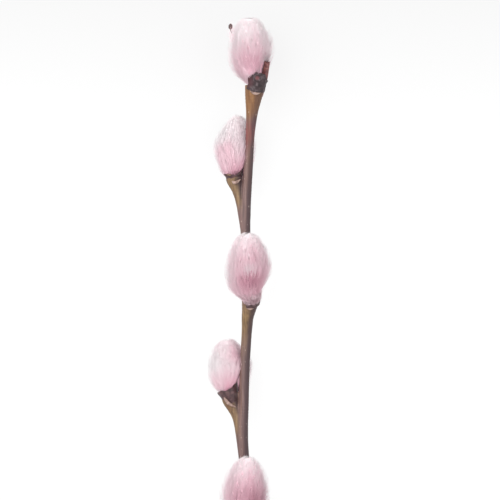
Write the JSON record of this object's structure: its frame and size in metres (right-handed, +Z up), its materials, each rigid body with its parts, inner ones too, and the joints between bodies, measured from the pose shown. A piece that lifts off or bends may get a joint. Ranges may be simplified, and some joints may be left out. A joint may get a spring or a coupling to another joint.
{
  "type": "willow branch",
  "caption": "Cut twig of pink pussy willow lying on its side: woody stem with swollen nodes and spurs, dark bud scales and soft woolly pink catkins along it",
  "frame": {"origin": "middle of the branch's box in X and Y, on the surface that it lies on", "axes": "X across the twig, Y along it towards its tip, Z up from the surface"},
  "size_m": [0.0238, 0.2382, 0.0291],
  "materials": {
    "bark": "satin",
    "bud_scale": "matte",
    "catkin_wool": "matte"
  },
  "bodies": {
    "root": {"stem": "bark", "bud_scale_1": "bud_scale", "bud_scale_2": "bud_scale", "bud_scale_3": "bud_scale", "bud_scale_4": "bud_scale", "bud_scale_5": "bud_scale", "catkin_1": "catkin_wool", "catkin_2": "catkin_wool", "catkin_3": "catkin_wool", "catkin_4": "catkin_wool", "catkin_5": "catkin_wool", "scale_fleck": "bud_scale"}
  },
  "joints": []
}
